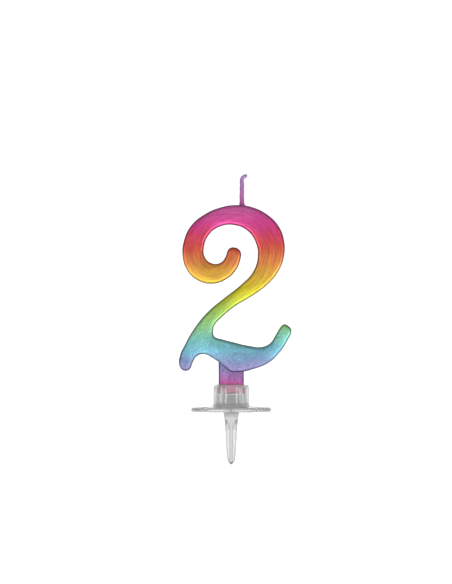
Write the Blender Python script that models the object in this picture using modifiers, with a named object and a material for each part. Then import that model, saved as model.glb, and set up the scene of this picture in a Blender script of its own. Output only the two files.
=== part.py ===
"""Number birthday candle: a cast wax figure 2 on its wick, standing in a clear cup on a cake spike.

Frame: the origin is the centre of the flower disc's underside, on the spike's axis. +Z is up, +X is to
the right as the figure is read, and the figure faces -Y. The candle is drawn seated in its cup.
"""

import math

import bmesh
import bpy
from mathutils import Matrix, Vector

MM = 0.001

# Every dimension below is in millimetres.
GAP = 0.3  # left between neighbouring solids

# Wax figure
FIGURE_DEPTH = 9.0
FIGURE_ROUNDING = 0.9
STEM_WIDTH = 8.5
STEM_DEPTH = 5.0
STEM_HEIGHT = 11.5
STEM_ROUNDING = 0.8

# Wick
WICK_DIAMETER = 1.4

# Cup with its flower disc
CUP_OUTER = 6.2
CUP_INNER = 5.2
CUP_HEIGHT = 9.4
CUP_RIM_ROUNDING = 0.7
DISC_THICKNESS = 1.9
DISC_ROUNDING = 0.5
PETALS = 6
PETAL_CENTRE = 9.1
PETAL_RADIUS = 4.7
RIB_PLACES = (1.9, 3.65)
RIB_TOP = 8.4
RIB_FOOT_THICKNESS = 1.1
RIB_TIP_THICKNESS = 0.6
CROSS_HOLE = 2.5
HEAD_RECESS = 3.2
HEAD_RECESS_DEPTH = 0.9

# Spike, with the cross that stands up inside the cup and carries the stem
SEAT_HEIGHT = 5.9
SEAT_REACH = 2.2
SEAT_WEB = 1.2
SPIKE_WEB = 1.3
SPIKE_LENGTH = 18.1
FLUTE_START = 3.2
FLUTE_SLOPE = 0.75

# Height of the stem's foot above the disc's underside, with the stem seated on the cross
FOOT_HEIGHT = SEAT_HEIGHT + GAP

# Outline of the figure 2, as smooth points (x, height above the stem's foot)
CURL_TIP = ((-0.6, 50.0), (2.1, 50.0), (3.15, 48.8))
CURL_OUTSIDE = ((3.0, 46.4), (1.5, 42.8), (-1.7, 39.7), (-6.6, 38.1), (-11.6, 39.3), (-15.0, 42.6))
BOWL_OUTSIDE = (
    (-16.6, 47.4), (-16.2, 52.5), (-13.8, 57.7), (-9.1, 61.7), (-3.5, 64.1), (2.0, 64.9),
    (7.4, 64.1), (12.5, 61.5), (16.2, 57.7), (18.0, 53.0), (18.1, 47.8), (16.4, 42.8),
)
DIAGONAL_UNDERSIDE = ((12.6, 38.0), (7.3, 34.0), (1.5, 30.5), (-3.2, 26.7), (-6.1, 23.4))
NOTCH = ((-6.4, 21.6), (-6.3, 20.2), (-5.7, 19.4))
TAIL_TOP = (
    (-3.6, 18.75), (0.2, 17.75), (6.0, 16.4), (10.6, 16.0), (13.6, 17.4), (15.4, 20.1), (16.5, 22.0),
)
TAIL_TIP = ((17.4, 23.3), (18.4, 23.9), (19.4, 23.4), (20.2, 22.8), (20.6, 21.8))
TAIL_UNDERSIDE = (
    (19.3, 18.6), (16.6, 14.5), (12.7, 10.8), (7.9, 8.8), (3.0, 7.7), (-0.1, 7.8), (-3.2, 10.3),
    (-6.2, 12.4),
)
ARCH = ((-9.5, 13.9), (-12.1, 13.0), (-13.5, 10.7))
HEEL = ((-14.4, 8.6), (-16.1, 8.1), (-17.5, 9.3))
BACK = ((-17.7, 12.5), (-15.9, 16.7), (-12.5, 22.6), (-7.9, 28.2), (-2.3, 32.9), (3.4, 37.4))
BOWL_INSIDE = (
    (7.6, 41.9), (9.3, 47.2), (8.5, 52.4), (5.6, 56.4), (1.1, 58.3), (-3.6, 57.9), (-7.5, 55.3),
    (-9.5, 50.9), (-9.2, 47.0),
)
CURL_INSIDE = ((-6.6, 44.8), (-3.5, 45.1), (-1.7, 47.4))
FIGURE_OUTLINE = (
    CURL_TIP + CURL_OUTSIDE + BOWL_OUTSIDE + DIAGONAL_UNDERSIDE + NOTCH + TAIL_TOP + TAIL_TIP
    + TAIL_UNDERSIDE + ARCH + HEEL + BACK + BOWL_INSIDE + CURL_INSIDE
)

# The wick follows the middle of the stroke from the base to the crown, then stands up and bends over
WICK_IN_WAX = (
    (-10.6, 19.6), (-9.3, 23.0), (-5.5, 27.5), (-0.4, 31.7), (5.4, 35.7), (10.1, 39.9), (12.9, 45.0),
    (13.8, 50.0), (12.2, 55.4), (8.3, 59.6), (4.9, 62.1), (3.8, 64.9),
)
WICK_IN_AIR = ((3.65, 68.4), (3.7, 71.8), (3.65, 73.5), (3.95, 74.5), (4.75, 75.0), (5.5, 75.25))
WICK_CHANNEL_END = ((-10.9, 18.8),)
WICK_CHANNEL_MOUTH = ((3.7, 67.0),)

# Outer side of the spike's turned blank, as (radius, height). Its head sits in the disc's recess.
HEAD_RADIUS = HEAD_RECESS - GAP
HEAD_TOP = HEAD_RECESS_DEPTH - GAP
SPIKE_PROFILE = (
    (0.0, HEAD_TOP), (HEAD_RADIUS, HEAD_TOP), (HEAD_RADIUS, 0.0), (2.5, -1.6), (2.15, -5.0),
    (1.82, -11.7), (1.42, -16.4), (0.9, -17.6), (0.0, -SPIKE_LENGTH),
)


def clear_scene():
    for item in list(bpy.data.objects):
        bpy.data.objects.remove(item, do_unlink=True)


def new_collection(name):
    collection = bpy.data.collections.new(name)
    bpy.context.scene.collection.children.link(collection)
    return collection


def principled(name, colour, roughness, metallic=0.0, transmission=0.0):
    material = bpy.data.materials.new(name)
    material.use_nodes = True
    shader = material.node_tree.nodes["Principled BSDF"]
    shader.inputs["Base Color"].default_value = (*colour, 1.0)
    shader.inputs["Roughness"].default_value = roughness
    shader.inputs["Metallic"].default_value = metallic
    shader.inputs["Transmission Weight"].default_value = transmission
    return material


def put(name, mesh, collection):
    item = bpy.data.objects.new(name, mesh)
    collection.objects.link(item)
    return item


def as_tool(item):
    """Show a shape that only cuts or joins another one as a wire, and keep it out of renders."""
    item.hide_render = True
    item.display_type = "WIRE"
    return item


def combine(target, tool, operation):
    modifier = target.modifiers.new(f"{operation.title()} {tool.name}", "BOOLEAN")
    modifier.operation = operation
    modifier.solver = "EXACT"
    modifier.object = tool


def round_edges(item, width, segments=2, angle=50):
    modifier = item.modifiers.new("Rounded edges", "BEVEL")
    modifier.width = width * MM
    modifier.segments = segments
    modifier.limit_method = "ANGLE"
    modifier.angle_limit = math.radians(angle)


def finish(item, material, angle=35):
    """Give a finished piece its material and smooth its round faces."""
    item.data.materials.append(material)
    item.data.shade_smooth()
    item.data.set_sharp_from_angle(angle=math.radians(angle))


def box(name, low, high, collection):
    """A box between two corners in millimetres."""
    low = Vector(low) * MM
    high = Vector(high) * MM
    size = high - low
    shape = bmesh.new()
    bmesh.ops.create_cube(shape, size=1.0, matrix=Matrix.Diagonal((*size, 1.0)))
    bmesh.ops.translate(shape, verts=shape.verts, vec=(low + high) / 2)
    mesh = bpy.data.meshes.new(name)
    shape.to_mesh(mesh)
    shape.free()
    return put(name, mesh, collection)


def turned(name, profile, steps, collection):
    """A profile of (radius, height) points in millimetres, turned round the Z axis."""
    mesh = bpy.data.meshes.new(name)
    vertices = [(radius * MM, 0.0, height * MM) for radius, height in profile]
    edges = [(index, index + 1) for index in range(len(profile) - 1)]
    if profile[0][0] > 0.0:
        edges.append((len(profile) - 1, 0))
    mesh.from_pydata(vertices, edges, [])
    item = put(name, mesh, collection)
    screw = item.modifiers.new("Turned", "SCREW")
    screw.axis = "Z"
    screw.steps = steps
    screw.render_steps = steps
    screw.use_merge_vertices = True
    screw.merge_threshold = 0.00001
    return item


def solid_from_curve(source, name, collection):
    """Turn a curve into a mesh object with its caps welded on."""
    bpy.context.view_layer.update()
    evaluated = source.evaluated_get(bpy.context.evaluated_depsgraph_get())
    mesh = bpy.data.meshes.new_from_object(evaluated)
    mesh.name = name
    shape = bmesh.new()
    shape.from_mesh(mesh)
    bmesh.ops.remove_doubles(shape, verts=shape.verts, dist=0.000002)
    bmesh.ops.recalc_face_normals(shape, faces=shape.faces)
    shape.to_mesh(mesh)
    shape.free()
    item = put(name, mesh, collection)
    item.matrix_world = source.matrix_world.copy()
    bpy.data.objects.remove(source, do_unlink=True)
    return item


def smooth_spline(curve, points, cyclic):
    spline = curve.splines.new("BEZIER")
    spline.bezier_points.add(len(points) - 1)
    for knot, point in zip(spline.bezier_points, points):
        knot.co = Vector(point) * MM
        knot.handle_left_type = "AUTO"
        knot.handle_right_type = "AUTO"
    spline.use_cyclic_u = cyclic


def slab_curve(name, thickness, rounding):
    """A filled flat curve that becomes a slab with rounded edges, inside the outline that it is given."""
    curve = bpy.data.curves.new(name + " outline", "CURVE")
    curve.dimensions = "2D"
    curve.fill_mode = "BOTH"
    curve.resolution_u = 4
    curve.extrude = (thickness / 2 - rounding) * MM
    curve.bevel_depth = rounding * MM
    curve.bevel_resolution = 1
    curve.offset = -rounding * MM
    return curve


def figure_slab(name, collection):
    """The figure's outline at its full depth, stood up to face -Y."""
    curve = slab_curve(name, FIGURE_DEPTH, FIGURE_ROUNDING)
    smooth_spline(curve, [(x, height, 0.0) for x, height in FIGURE_OUTLINE], cyclic=True)
    outline = put(name + " outline", curve, collection)
    outline.matrix_world = (
        Matrix.Translation((0.0, 0.0, FOOT_HEIGHT * MM)) @ Matrix.Rotation(math.radians(90), 4, "X")
    )
    return solid_from_curve(outline, name, collection)


def strand(name, route, radius, collection):
    """A round strand along a route of (x, height above the stem's foot) points."""
    curve = bpy.data.curves.new(name + " route", "CURVE")
    curve.dimensions = "3D"
    curve.resolution_u = 4
    curve.bevel_depth = radius * MM
    curve.bevel_resolution = 2
    curve.use_fill_caps = True
    smooth_spline(curve, [(x, 0.0, FOOT_HEIGHT + height) for x, height in route], cyclic=False)
    return solid_from_curve(put(name + " route", curve, collection), name, collection)


def make_wax_digit(parts, cutters, material):
    """The figure and its stem are one casting, with a channel where the wick is cast in."""
    digit = figure_slab("wax_digit", parts)
    half_width = STEM_WIDTH / 2
    half_depth = STEM_DEPTH / 2
    stem = as_tool(box(
        "stem",
        (-half_width, -half_depth, FOOT_HEIGHT),
        (half_width, half_depth, FOOT_HEIGHT + STEM_HEIGHT),
        cutters,
    ))
    round_edges(stem, STEM_ROUNDING)
    combine(digit, stem, "UNION")
    channel_route = WICK_CHANNEL_END + WICK_IN_WAX + WICK_CHANNEL_MOUTH
    channel = as_tool(strand("wick_channel", channel_route, WICK_DIAMETER / 2 + GAP, cutters))
    combine(digit, channel, "DIFFERENCE")
    finish(digit, material)


def make_wick(parts, material):
    wick = strand("wick", WICK_IN_WAX + WICK_IN_AIR, WICK_DIAMETER / 2, parts)
    finish(wick, material, angle=60)


def petal_outline():
    """Points (x, y) round the flower disc: one arc for each petal, meeting its neighbours in a notch."""
    half_turn = math.pi / PETALS
    notch = PETAL_CENTRE * math.cos(half_turn) + math.sqrt(
        PETAL_RADIUS ** 2 - (PETAL_CENTRE * math.sin(half_turn)) ** 2
    )
    notch_x = notch * math.cos(half_turn) - PETAL_CENTRE
    notch_y = notch * math.sin(half_turn)
    reach = math.atan2(notch_y, notch_x)
    arc_steps = 12
    points = []
    for petal in range(PETALS):
        turn = Matrix.Rotation(petal * 2 * half_turn, 2)
        for step in range(arc_steps):
            angle = -reach + 2 * reach * step / arc_steps
            x = PETAL_CENTRE + PETAL_RADIUS * math.cos(angle)
            y = PETAL_RADIUS * math.sin(angle)
            points.append(turn @ Vector((x, y)))
    return points


def flower_disc(name, collection):
    curve = slab_curve(name, DISC_THICKNESS, DISC_ROUNDING)
    points = petal_outline()
    spline = curve.splines.new("POLY")
    spline.points.add(len(points) - 1)
    for knot, point in zip(spline.points, points):
        knot.co = (point.x * MM, point.y * MM, 0.0, 1.0)
    spline.use_cyclic_u = True
    outline = put(name + " outline", curve, collection)
    outline.matrix_world = Matrix.Translation((0.0, 0.0, DISC_THICKNESS / 2 * MM))
    return solid_from_curve(outline, name, collection)


def rim_profile():
    """The cup's wall as a closed loop of (radius, height), from the top of its outer side down."""
    corner_steps = 3
    corner = []
    for step in range(corner_steps + 1):
        angle = math.radians(90) * (1 - step / corner_steps)
        radius = CUP_OUTER - CUP_RIM_ROUNDING * (1 - math.cos(angle))
        height = CUP_HEIGHT - CUP_RIM_ROUNDING * (1 - math.sin(angle))
        corner.append((radius, height))
    root = DISC_THICKNESS / 2
    return corner + [(CUP_OUTER, root), (CUP_INNER, root), (CUP_INNER, CUP_HEIGHT)]


def grip_rib(name, x, side, collection):
    """An upright rib on the cup's inner wall, thinner at its top, that stops just short of the stem."""
    inner = STEM_DEPTH / 2 + GAP
    outer = math.sqrt(CUP_INNER ** 2 - x ** 2) + 0.4
    low = min(side * inner, side * outer)
    high = max(side * inner, side * outer)
    half = RIB_FOOT_THICKNESS / 2
    rib = box(name, (x - half, low, DISC_THICKNESS - 0.4), (x + half, high, RIB_TOP), collection)
    middle = x * MM
    for vertex in rib.data.vertices:
        if vertex.co.z > RIB_TOP * MM / 2:
            vertex.co.x = middle + (vertex.co.x - middle) * RIB_TIP_THICKNESS / RIB_FOOT_THICKNESS
    return rib


def make_candle_cup(parts, cutters, material):
    """Flower disc, round cup and grip ribs, moulded in one, with a stepped hole for the spike."""
    cup = flower_disc("candle_cup", parts)
    combine(cup, as_tool(turned("cup_wall", rim_profile(), 64, cutters)), "UNION")
    for side, face in ((-1, "front"), (1, "back")):
        for place in RIB_PLACES:
            for x, hand in ((-place, "left"), (place, "right")):
                name = f"grip_rib_{face}_{hand}_{place}"
                combine(cup, as_tool(grip_rib(name, x, side, cutters)), "UNION")
    past_face = 1.0
    hole_profile = (
        (0.0, DISC_THICKNESS + past_face),
        (CROSS_HOLE, DISC_THICKNESS + past_face),
        (CROSS_HOLE, HEAD_RECESS_DEPTH),
        (HEAD_RECESS, HEAD_RECESS_DEPTH),
        (HEAD_RECESS, -past_face),
        (0.0, -past_face),
    )
    combine(cup, as_tool(turned("stepped_hole", hole_profile, 32, cutters)), "DIFFERENCE")
    finish(cup, material)


def flute(name, quarter, collection):
    """A cutter for one of the four flutes, whose upper end runs out towards the outside."""
    half_web = SPIKE_WEB / 2
    reach = 4.0
    cutter = box(
        name, (half_web, half_web, -SPIKE_LENGTH - 1), (reach, reach, -FLUTE_START), collection
    )
    for vertex in cutter.data.vertices:
        if vertex.co.z > -SPIKE_LENGTH / 2 * MM:
            inward = 2 * reach * MM - vertex.co.x - vertex.co.y
            vertex.co.z = -(FLUTE_START * MM + inward * FLUTE_SLOPE / 2)
    cutter.data.transform(Matrix.Rotation(math.radians(90) * quarter, 4, "Z"))
    return cutter


def make_cake_spike(parts, cutters, material):
    """A pointed cruciform spike whose flared head sits under the disc and whose cross seats the stem."""
    spike = turned("cake_spike", SPIKE_PROFILE, 32, parts)
    for quarter in range(4):
        combine(spike, as_tool(flute(f"flute_{quarter + 1}", quarter, cutters)), "DIFFERENCE")
    half_web = SEAT_WEB / 2
    webs = (("seat_web_across", SEAT_REACH, half_web), ("seat_web_along", half_web, SEAT_REACH))
    for name, half_x, half_y in webs:
        web = box(name, (-half_x, -half_y, HEAD_TOP / 2), (half_x, half_y, SEAT_HEIGHT), cutters)
        combine(spike, as_tool(web), "UNION")
    finish(spike, material)


def main():
    clear_scene()
    parts = new_collection("Number birthday candle")
    cutters = new_collection("Cutters")
    make_wax_digit(parts, cutters, principled("Rainbow lacquered wax", (0.75, 0.3, 0.45), 0.35, 0.6))
    make_wick(parts, principled("Waxed cotton wick", (0.42, 0.26, 0.5), 0.6))
    make_candle_cup(parts, cutters, principled("Clear plastic", (0.9, 0.91, 0.91), 0.08, 0.0, 0.9))
    make_cake_spike(parts, cutters, principled("Clear spike plastic", (0.94, 0.94, 0.94), 0.15, 0.0, 0.8))


main()
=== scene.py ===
"""Looks for the number birthday candle: rainbow lacquered wax, its wick, and the clear cup and spike.

Every length is in millimetres and becomes metres where a mesh is made. Heights "above the foot" are counted
from the bottom of the candle's stem, and every other height from the underside of the flower disc.
"""

import math

import bmesh
import bpy
import numpy as np
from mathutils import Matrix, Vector, geometry


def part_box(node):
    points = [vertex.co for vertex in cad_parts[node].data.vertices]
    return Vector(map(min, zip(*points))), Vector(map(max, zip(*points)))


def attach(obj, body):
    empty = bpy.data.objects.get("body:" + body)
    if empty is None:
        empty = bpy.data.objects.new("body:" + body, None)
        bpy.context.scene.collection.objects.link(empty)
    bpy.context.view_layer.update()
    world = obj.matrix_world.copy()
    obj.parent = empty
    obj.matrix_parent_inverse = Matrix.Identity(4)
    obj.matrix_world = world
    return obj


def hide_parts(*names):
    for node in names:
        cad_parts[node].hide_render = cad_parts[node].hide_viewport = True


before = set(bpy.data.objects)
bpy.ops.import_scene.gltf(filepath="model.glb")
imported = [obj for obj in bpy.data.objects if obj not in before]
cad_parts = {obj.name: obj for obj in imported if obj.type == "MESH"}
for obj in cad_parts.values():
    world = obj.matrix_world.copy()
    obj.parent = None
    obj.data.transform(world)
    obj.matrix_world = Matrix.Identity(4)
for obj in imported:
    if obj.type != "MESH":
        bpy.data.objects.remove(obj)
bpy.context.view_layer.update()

MM = 0.001

# ---- Sizes that come from the frame ----

SAME_POINT = 0.002
ON_THE_PLANE = 0.0001


def frame_box(node):
    """A CAD node's lowest and highest corners, in millimetres."""
    low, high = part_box(node)
    return low / MM, high / MM


def section_loops(node, point, normal):
    """The closed loops in which a CAD node crosses a plane, longest first, in millimetres."""
    shape = bmesh.new()
    shape.from_mesh(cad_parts[node].data)
    bmesh.ops.remove_doubles(shape, verts=shape.verts, dist=SAME_POINT * MM)
    cut = bmesh.ops.bisect_plane(
        shape,
        geom=shape.verts[:] + shape.edges[:] + shape.faces[:],
        dist=ON_THE_PLANE * MM,
        plane_co=Vector(point) * MM,
        plane_no=Vector(normal),
    )
    edges = [item for item in cut["geom_cut"] if isinstance(item, bmesh.types.BMEdge)]
    neighbours = {}
    for edge in edges:
        first, second = edge.verts
        neighbours.setdefault(first, []).append(second)
        neighbours.setdefault(second, []).append(first)
    loops = []
    while neighbours:
        here = next(iter(neighbours))
        loop = [here]
        while True:
            onward = [vert for vert in neighbours.pop(here) if vert in neighbours]
            if not onward:
                break
            here = onward[0]
            loop.append(here)
        loops.append(np.array([vert.co for vert in loop]) / MM)
    shape.free()
    return sorted(loops, key=len, reverse=True)


WAX_LOW, WAX_HIGH = frame_box("wax_digit")
CUP_HIGH = frame_box("candle_cup")[1]
SPIKE_LOW, SPIKE_HIGH = frame_box("cake_spike")
FOOT = WAX_LOW.z
HALF_DEPTH = WAX_HIGH.y

# ---- Shader expressions ----


class Value:
    """A node's output that adds a Math node for each operator used on it."""

    def __init__(self, finish, socket):
        self.finish = finish
        self.socket = socket

    def math(self, operation, *others):
        return self.finish.node("ShaderNodeMath", {"operation": operation}, [self, *others])

    def __add__(self, other):
        return self.math("ADD", other)

    __radd__ = __add__

    def __sub__(self, other):
        return self.math("SUBTRACT", other)

    def __rsub__(self, other):
        return self.finish.node("ShaderNodeMath", {"operation": "SUBTRACT"}, [other, self])

    def __mul__(self, other):
        return self.math("MULTIPLY", other)

    def __truediv__(self, other):
        return self.math("DIVIDE", other)

    def rise(self, low, high):
        """0 below low, 1 above high and a smooth rise between them."""
        settings = {"interpolation_type": "SMOOTHSTEP"}
        inputs = {"Value": self, "From Min": low, "From Max": high}
        return self.finish.node("ShaderNodeMapRange", settings, inputs)


class Finish:
    """One material, or the world, with the few node calls that its surface is written in."""

    def __init__(self, owner):
        owner.use_nodes = True
        self.owner = owner
        self.tree = owner.node_tree

    def node(self, kind, settings=None, inputs=None, output=0):
        """Add a node, apply its settings, then feed its sockets by name or in order."""
        made = self.tree.nodes.new(kind)
        for name, setting in (settings or {}).items():
            if name == "stops":
                self.set_stops(made.color_ramp, setting)
            else:
                setattr(made, name, setting)
        pairs = inputs.items() if isinstance(inputs, dict) else enumerate(inputs or [])
        for key, value in pairs:
            self.feed(made.inputs[key], value)
        return Value(self, made.outputs[output])

    @staticmethod
    def set_stops(ramp, stops):
        """Give a colour ramp, which starts with two stops, all of these (place, colour) stops."""
        for index, (place, colour) in enumerate(stops):
            if index < 2:
                stop = ramp.elements[index]
                stop.position = place
            else:
                stop = ramp.elements.new(place)
            stop.color = colour

    def feed(self, socket, value):
        """Link a value to a socket, or set the socket to a constant."""
        if isinstance(value, Value):
            self.tree.links.new(value.socket, socket)
        else:
            socket.default_value = value

    def vector(self, operation, *values):
        return self.node("ShaderNodeVectorMath", {"operation": operation}, values)

    def combine(self, x, y, z):
        return self.node("ShaderNodeCombineXYZ", None, [x, y, z])

    def part(self, vector, axis):
        return self.node("ShaderNodeSeparateXYZ", None, [vector], output=axis)

    def place(self):
        """Where a point is on the resting object, in millimetres."""
        coordinates = self.node("ShaderNodeTexCoord", output="Object")
        return self.vector("MULTIPLY", coordinates, (1 / MM, 1 / MM, 1 / MM))

    def attribute(self, name, output="Vector"):
        return self.node("ShaderNodeAttribute", {"attribute_name": name}, output=output)

    def noise(self, vector, scale, detail, roughness=0.5, output="Fac"):
        inputs = {"Vector": vector, "Scale": scale, "Detail": detail, "Roughness": roughness}
        return self.node("ShaderNodeTexNoise", None, inputs, output=output)

    def swing(self, vector, scale, detail, roughness):
        """Noise that goes either way from 0."""
        return self.noise(vector, scale, detail, roughness) - 0.5

    def mix(self, factor, first, second):
        made = self.tree.nodes.new("ShaderNodeMix")
        made.data_type = "RGBA"
        for key, value in (("Factor_Float", factor), ("A_Color", first), ("B_Color", second)):
            socket = next(item for item in made.inputs if item.identifier == key)
            self.feed(socket, value)
        colour = next(item for item in made.outputs if item.identifier == "Result_Color")
        return Value(self, colour)

    def scaled(self, colour, factor):
        """A colour made lighter or darker by a factor."""
        return self.node("ShaderNodeVectorMath", {"operation": "SCALE"}, {"Vector": colour, "Scale": factor})

    def bump(self, height, strength, distance):
        inputs = {"Height": height, "Strength": strength, "Distance": distance}
        return self.node("ShaderNodeBump", None, inputs)

    def surface(self, **inputs):
        """Set the Principled shader's sockets; an underscore in a name stands for a space."""
        shader = self.tree.nodes["Principled BSDF"]
        for name, value in inputs.items():
            self.feed(shader.inputs[name.replace("_", " ")], value)


def material(name):
    return Finish(bpy.data.materials.new(name))


def linear(red, green, blue):
    """A display colour of 0 to 255 as the linear colour a shader works in, by the sRGB curve."""
    channels = []
    for channel in (red, green, blue):
        share = channel / 255
        channels.append(share / 12.92 if share <= 0.04045 else ((share + 0.055) / 1.055) ** 2.4)
    return (*channels, 1.0)


# ---- Finishes ----

# The sprayed rainbow, as (millimetres above the foot, display colour)
RAINBOW = (
    (1.5, (212, 72, 144)), (5.0, (150, 90, 150)), (8.0, (130, 114, 162)), (11.5, (114, 134, 170)),
    (15.0, (112, 174, 194)), (19.5, (122, 190, 176)), (24.0, (142, 197, 124)), (29.0, (155, 190, 84)),
    (34.5, (206, 200, 40)), (40.0, (216, 172, 56)), (45.0, (216, 131, 68)), (50.5, (207, 78, 65)),
    (55.0, (206, 62, 102)), (59.0, (210, 67, 144)), (64.5, (202, 100, 164)), (71.0, (168, 112, 172)),
    (75.5, (170, 136, 192)),
)
RAINBOW_TOP = 76.0

# Heights above the foot between which the looks of the base and of the stem give way to the bowl's
BASE_FADE = (19.0, 32.0)
STEM_FADE = (7.0, 13.0)

# Marks of the brush, as (scale across the stroke, scale along it, layer of noise)
SMEARS = (1.5, 0.13, 0.0)
FINE_STREAKS = (2.2, 0.16, 3.0)
BROAD_STREAKS = (0.7, 0.1, 7.0)

# How far smears and blotches push the rainbow's bands up and down, in millimetres
SMEAR_REACH = 9.0
BLOTCH_REACH = 5.0

# How strongly each kind of mark lightens and darkens the lacquer
BRUSHING_LOST_ON_BASE = 0.75
BROAD_STRENGTH = 0.8
CRACKLE_STRENGTH = 1.5
GRAIN_STRENGTH = 0.6
SMUDGE_STRENGTH = 1.3
# Painted shade round the rim, and the painted highlight on the lower edges
PAINTED_RIM_LIGHT = 0.75

# How much of the crackle and grain is left on the bowl, in the colour and in the relief
GRAIN_ON_BOWL = 0.3
RELIEF_ON_BOWL = 0.35


def rainbow(finish, height):
    """The rainbow's colour at a height above the stem's foot."""
    stops = [(above / RAINBOW_TOP, linear(*colour)) for above, colour in RAINBOW]
    return finish.node("ShaderNodeValToRGB", {"stops": stops}, [height / RAINBOW_TOP], output="Color")


def lacquer_finish():
    """Metallic lacquer brushed along the stroke, crackled on the base and smudged on the stem, with painted
    shade round its rim and a painted highlight on its lower edges.
    """
    finish = material("rainbow_lacquer")
    place = finish.place()
    height = finish.part(place, "Z") - FOOT
    stroke = finish.attribute("stroke")
    across = finish.part(stroke, "X")
    along = finish.part(stroke, "Y")
    on_base = 1.0 - height.rise(*BASE_FADE)
    on_arcs = 1.0 - on_base * BRUSHING_LOST_ON_BASE
    on_stem = 1.0 - height.rise(*STEM_FADE)

    def brushed(marks, roughness):
        """Noise drawn out along the stroke."""
        across_scale, along_scale, layer = marks
        drawn_out = finish.combine(across * across_scale, along * along_scale, layer)
        return finish.swing(drawn_out, scale=1.0, detail=3.0, roughness=roughness)

    def patches(scales, roughness):
        """Noise in patches, with a scale for each direction."""
        stretched = finish.vector("MULTIPLY", place, scales)
        return finish.swing(stretched, scale=1.0, detail=3.0, roughness=roughness)

    smear = brushed(SMEARS, 0.6)
    blotch = patches((0.3, 0.3, 0.3), 0.6)
    colour = rainbow(finish, height + smear * SMEAR_REACH * on_arcs + blotch * BLOTCH_REACH)

    streaks = (brushed(FINE_STREAKS, 0.65) + brushed(BROAD_STREAKS, 0.6) * BROAD_STRENGTH) * on_arcs
    warp = finish.noise(place, scale=0.7, detail=2.0, output="Color")
    swirled = finish.vector("ADD", place, finish.vector("MULTIPLY", warp, (3.0, 3.0, 3.0)))
    crackle = finish.swing(swirled, scale=1.2, detail=4.0, roughness=0.7)
    grain = finish.swing(place, scale=2.2, detail=3.0, roughness=0.7)
    grains = crackle * CRACKLE_STRENGTH + grain * GRAIN_STRENGTH

    def grained(left_on_bowl):
        """The crackle and grain, whole on the base and fainter on the bowl."""
        return grains * (left_on_bowl + on_base * (1.0 - left_on_bowl))

    smudges = patches((0.75, 0.75, 0.3), 0.65) * on_stem * SMUDGE_STRENGTH
    # The rim attribute is painted light: above 0 a painted shade line round the outline, below 0 a painted
    # highlight on the lower edges
    rim = finish.attribute("rim", "Fac")
    shade = (1.0 + streaks + grained(GRAIN_ON_BOWL) + smudges) * (1.0 - rim * PAINTED_RIM_LIGHT)
    relief = streaks + grained(RELIEF_ON_BOWL)
    finish.surface(
        Base_Color=finish.scaled(colour, shade),
        Metallic=0.72,
        Roughness=0.32 + grain * 0.2,
        Normal=finish.bump(relief, strength=0.45, distance=0.06 * MM),
        Coat_Weight=0.4 - rim * 0.4,
        Coat_Roughness=0.14,
        Specular_IOR_Level=0.3,
    )
    return finish.owner


def wick_finish():
    """Braided cotton soaked in wax and sprayed with the top of the rainbow."""
    wander = 3.0
    darkest = 0.75
    lightening = 0.35
    finish = material("lacquered_wick")
    place = finish.place()
    height = finish.part(place, "Z") - FOOT
    fuzz = finish.noise(place, scale=5.0, detail=3.0, roughness=0.6)
    colour = rainbow(finish, height + (fuzz - 0.5) * wander)
    finish.surface(
        Base_Color=finish.scaled(colour, darkest + fuzz * lightening),
        Metallic=0.35,
        Roughness=0.5,
        Normal=finish.bump(fuzz, strength=0.5, distance=0.08 * MM),
    )
    return finish.owner


def clear_finish(name, tint, roughness, milk):
    """Clear moulded plastic with faint flow marks, and painted highlights and painted shade along its edges,
    ribs and notches.
    """
    painted_light_strength = 0.45
    finish = material(name)
    place = finish.place()
    # Painted light: above 0 a painted highlight, below 0 painted shade
    painted_light = finish.attribute("painted_light", "Fac")
    flow_place = finish.vector("MULTIPLY", place, (0.35, 0.35, 0.12))
    flow = finish.noise(flow_place, scale=1.0, detail=2.0)
    haze = finish.noise(place, scale=0.8, detail=3.0)
    finish.surface(
        Base_Color=finish.scaled(tint, 1.0 + painted_light * painted_light_strength),
        Roughness=roughness + haze * roughness,
        IOR=1.5,
        Transmission_Weight=1.0 - milk,
        Normal=finish.bump(flow, strength=0.35, distance=0.12 * MM),
    )
    return finish.owner


def paper_finish():
    """Faintly mottled paper that glows a little, which keeps its shadows pale."""
    finish = material("pale_floor")
    mottle = finish.noise(finish.place(), scale=0.02, detail=2.0)
    finish.surface(
        Base_Color=finish.mix(mottle, (0.78, 0.78, 0.785, 1.0), (0.82, 0.82, 0.82, 1.0)),
        Roughness=0.8,
        Emission_Color=(1.0, 1.0, 1.0, 1.0),
        Emission_Strength=0.62,
    )
    return finish.owner


# ---- Mesh helpers ----


def smooth_faces(mesh, sharp):
    """Shade a mesh smooth, apart from edges that turn by more than a number of degrees."""
    mesh.shade_smooth()
    mesh.set_sharp_from_angle(angle=math.radians(sharp))


def mesh_piece(name, vertices, faces, surface, sharp):
    """A mesh object with one finish, from points in millimetres."""
    mesh = bpy.data.meshes.new(name)
    mesh.from_pydata([tuple(point) for point in np.asarray(vertices) * MM], [], faces)
    mesh.validate()
    mesh.materials.append(surface)
    smooth_faces(mesh, sharp)
    piece = bpy.data.objects.new(name, mesh)
    bpy.context.scene.collection.objects.link(piece)
    return piece


def face_outwards(piece):
    """Turn every face of a closed mesh outwards."""
    shape = bmesh.new()
    shape.from_mesh(piece.data)
    bmesh.ops.recalc_face_normals(shape, faces=shape.faces)
    shape.to_mesh(piece.data)
    shape.free()


def store_numbers(piece, name, values):
    attribute = piece.data.attributes.new(name, "FLOAT", "POINT")
    attribute.data.foreach_set("value", np.asarray(values, np.float32))


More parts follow.
